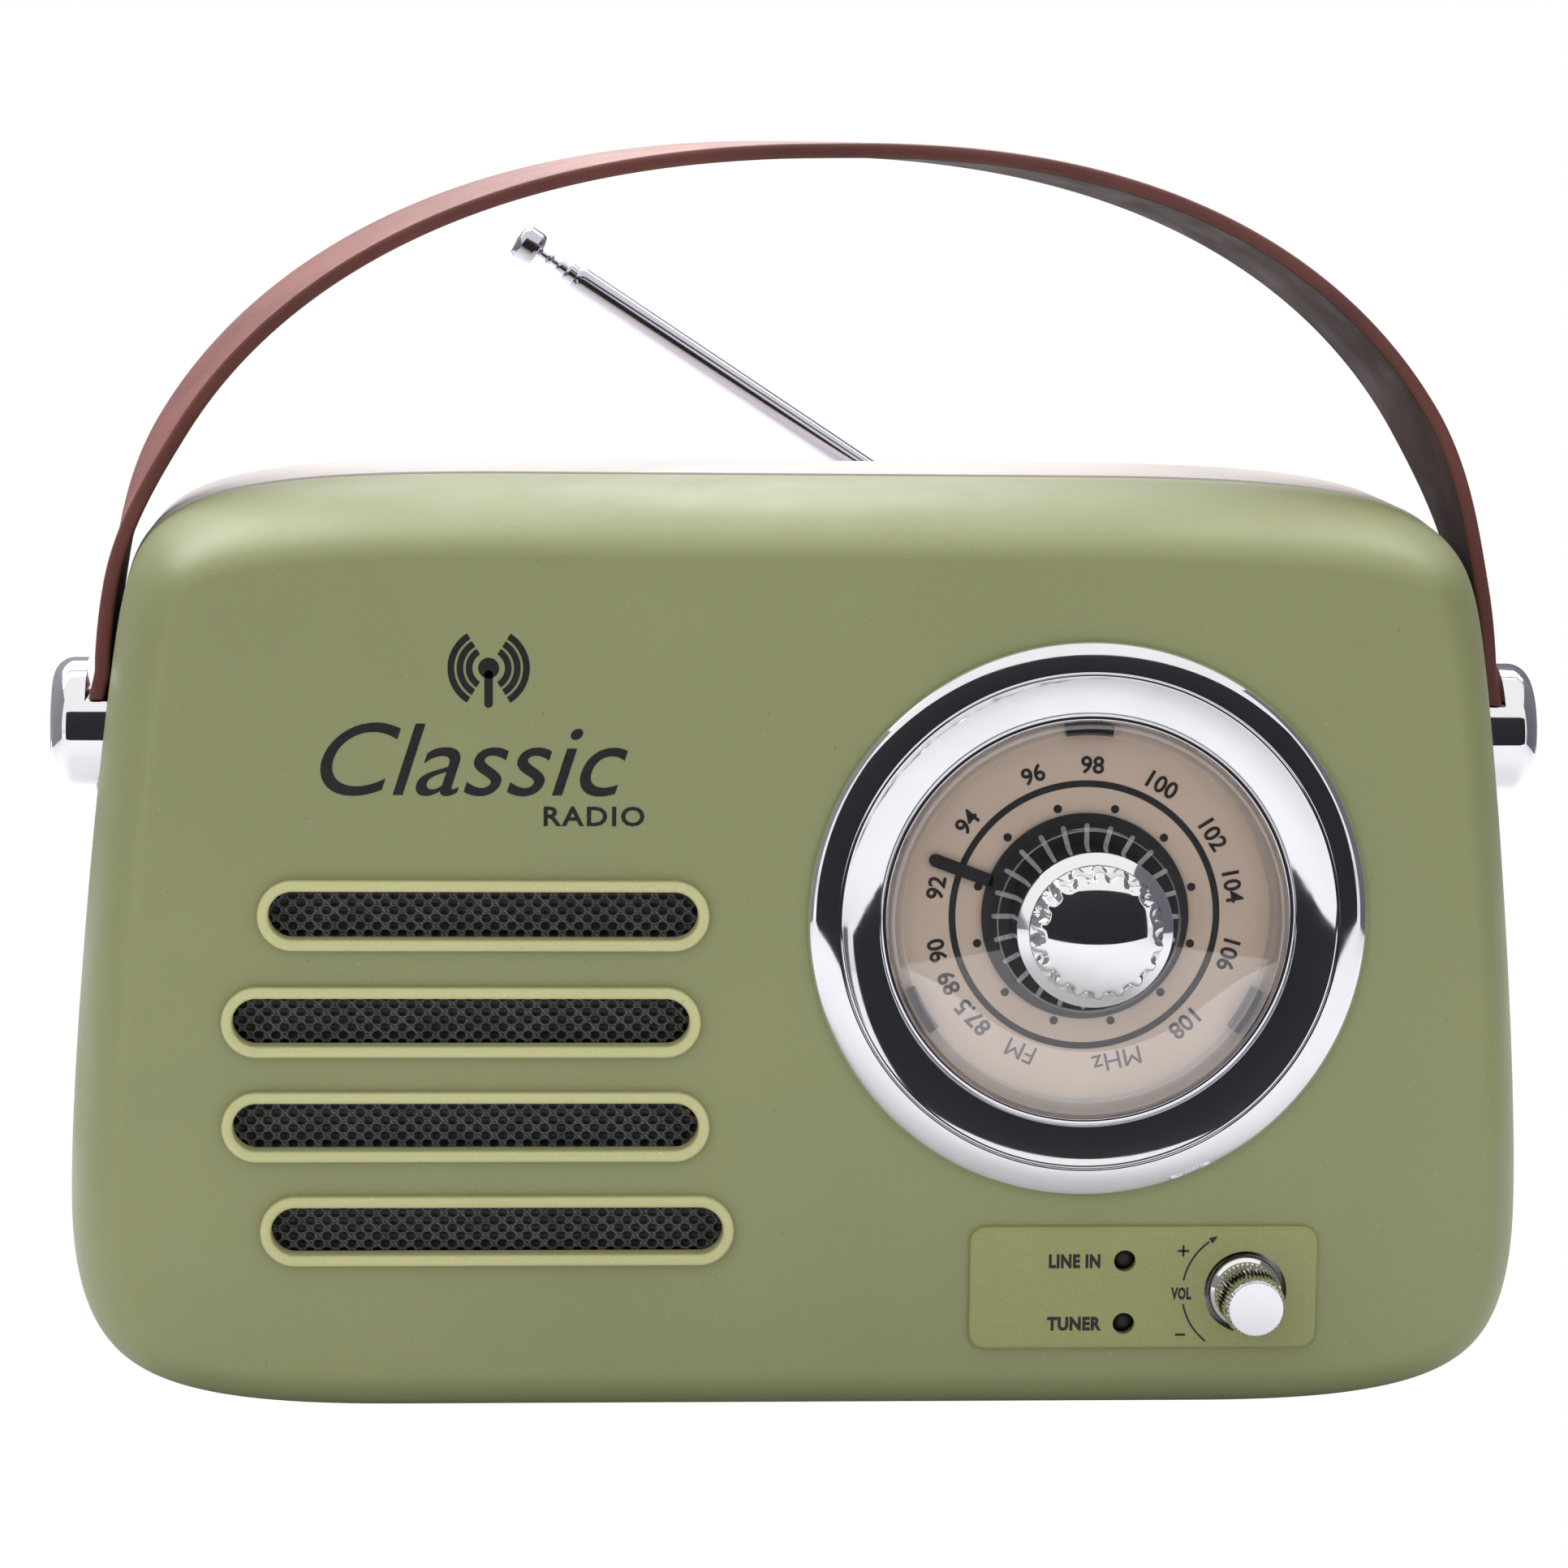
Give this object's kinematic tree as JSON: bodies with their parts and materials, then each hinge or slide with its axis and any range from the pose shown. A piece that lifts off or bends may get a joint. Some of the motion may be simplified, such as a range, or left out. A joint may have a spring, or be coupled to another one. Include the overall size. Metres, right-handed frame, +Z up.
{
  "type": "portable radio",
  "caption": "Retro portable radio with a rounded two-shell cabinet, round tuning dial, four speaker slots, leather strap handle and a telescopic aerial.",
  "frame": {"origin": "on the ground under the middle of the whole object", "axes": "+X to the right seen from the front, -Y towards the front, +Z up"},
  "size_m": [0.2236, 0.103, 0.1891],
  "materials": {
    "green_plastic": "fine matt moulded plastic, sage green",
    "light_green_plastic": "satin moulded plastic, lighter sage green",
    "cream_plastic": "satin moulded plastic, cream white",
    "chromed_plastic": "chrome plating on plastic, mirror bright",
    "chrome": "mirror bright",
    "plain_steel": "zinc plated",
    "strap_leather": "brown, smooth, sealed edges",
    "black_plastic": "matt black",
    "grille_fabric": "black knitted speaker cloth",
    "black_rubber": "matt",
    "cone_paper": "pressed paper pulp, black",
    "ivory_plastic": "matt printed plate",
    "clear_lens": "clear polished acrylic",
    "lamp_lens": "dark red, unlit",
    "circuit_board": "green solder mask",
    "battery_wrap": "shrink wrap"
  },
  "bodies": {
    "cabinet": {"front_shell": "green_plastic", "back_shell": "cream_plastic", "slot_rim_1": "light_green_plastic", "slot_rim_2": "light_green_plastic", "slot_rim_3": "light_green_plastic", "slot_rim_4": "light_green_plastic", "grille_cloth": "grille_fabric", "speaker_basket": "plain_steel", "speaker_surround": "black_rubber", "speaker_cone": "cone_paper", "speaker_dust_cap": "black_plastic", "speaker_magnet": "plain_steel", "speaker_screw_1": "plain_steel", "speaker_screw_2": "plain_steel", "speaker_screw_3": "plain_steel", "speaker_screw_4": "plain_steel", "dial_bezel": "chromed_plastic", "dial_lens": "clear_lens", "dial_plate": "ivory_plastic", "tuning_pot": "plain_steel", "control_panel": "light_green_plastic", "led_aux": "lamp_lens", "led_fm": "lamp_lens", "volume_pot": "plain_steel", "main_board": "circuit_board", "battery_pack": "battery_wrap", "battery_bracket": "black_plastic", "rear_panel": "black_plastic", "usb_socket": "plain_steel", "charge_socket": "plain_steel", "aux_jack": "plain_steel", "case_screw_1": "plain_steel", "case_screw_2": "plain_steel", "case_screw_3": "plain_steel", "case_screw_4": "plain_steel", "foot_1": "black_rubber", "foot_2": "black_rubber", "foot_3": "black_rubber", "foot_4": "black_rubber", "handle_boss_left": "plain_steel", "handle_boss_right": "plain_steel", "aerial_base": "black_plastic"},
    "handle": {"handle_strap": "strap_leather", "end_knob_left": "chromed_plastic", "end_knob_right": "chromed_plastic"},
    "tuning": {"tuning_knob": "chromed_plastic", "tuning_shaft": "plain_steel", "pointer_disc": "black_plastic"},
    "volume": {"volume_knob": "chromed_plastic", "volume_shaft": "plain_steel"},
    "mode_key": {"button_mode": "cream_plastic"},
    "previous_key": {"button_previous": "cream_plastic"},
    "next_key": {"button_next": "cream_plastic"},
    "aerial_turret": {"aerial_swivel": "chrome"},
    "aerial_outer": {"aerial_sleeve": "chrome"},
    "aerial_middle": {"aerial_section_2": "chrome"},
    "aerial_inner": {"aerial_section_3": "chrome"},
    "aerial_rod": {"aerial_tip_rod": "chrome"}
  },
  "joints": [
    {"name": "handle_fold", "type": "hinge", "parent": "cabinet", "child": "handle", "pos_m": [0, 0, 0.1013], "axis": [1, 0, 0], "range_deg": [-8, 36]},
    {"name": "tuning_turn", "type": "hinge", "parent": "cabinet", "child": "tuning", "pos_m": [0.04035, -0.04, 0.07795], "axis": [0, 1, 0], "range_deg": [-64, 207]},
    {"name": "volume_turn", "type": "hinge", "parent": "cabinet", "child": "volume", "pos_m": [0.0646, -0.04, 0.0228], "axis": [0, 1, 0], "range_deg": [-150, 150]},
    {"name": "mode_press", "type": "slide", "parent": "cabinet", "child": "mode_key", "axis": [0, -1, 0], "range_m": [0, 0.001], "stiffness_N_per_m": 400},
    {"name": "previous_press", "type": "slide", "parent": "cabinet", "child": "previous_key", "axis": [0, -1, 0], "range_m": [0, 0.001], "stiffness_N_per_m": 400},
    {"name": "next_press", "type": "slide", "parent": "cabinet", "child": "next_key", "axis": [0, -1, 0], "range_m": [0, 0.001], "stiffness_N_per_m": 400},
    {"name": "aerial_swing", "type": "hinge", "parent": "cabinet", "child": "aerial_turret", "pos_m": [0.059, 0.0473, 0.107], "axis": [0, 1, 0], "range_deg": [-33, 147]},
    {"name": "aerial_tilt", "type": "hinge", "parent": "aerial_turret", "child": "aerial_outer", "pos_m": [0.059, 0.0473, 0.107], "axis": [-0.5476, 0, -0.8368], "range_deg": [0, 90]},
    {"name": "aerial_pull_1", "type": "slide", "parent": "aerial_outer", "child": "aerial_middle", "axis": [-0.8368, 0, 0.5476], "range_m": [0, 0.085]},
    {"name": "aerial_pull_2", "type": "slide", "parent": "aerial_middle", "child": "aerial_inner", "axis": [-0.8368, 0, 0.5476], "range_m": [0, 0.085]},
    {"name": "aerial_pull_3", "type": "slide", "parent": "aerial_inner", "child": "aerial_rod", "axis": [-0.8368, 0, 0.5476], "range_m": [0, 0.085]}
  ]
}
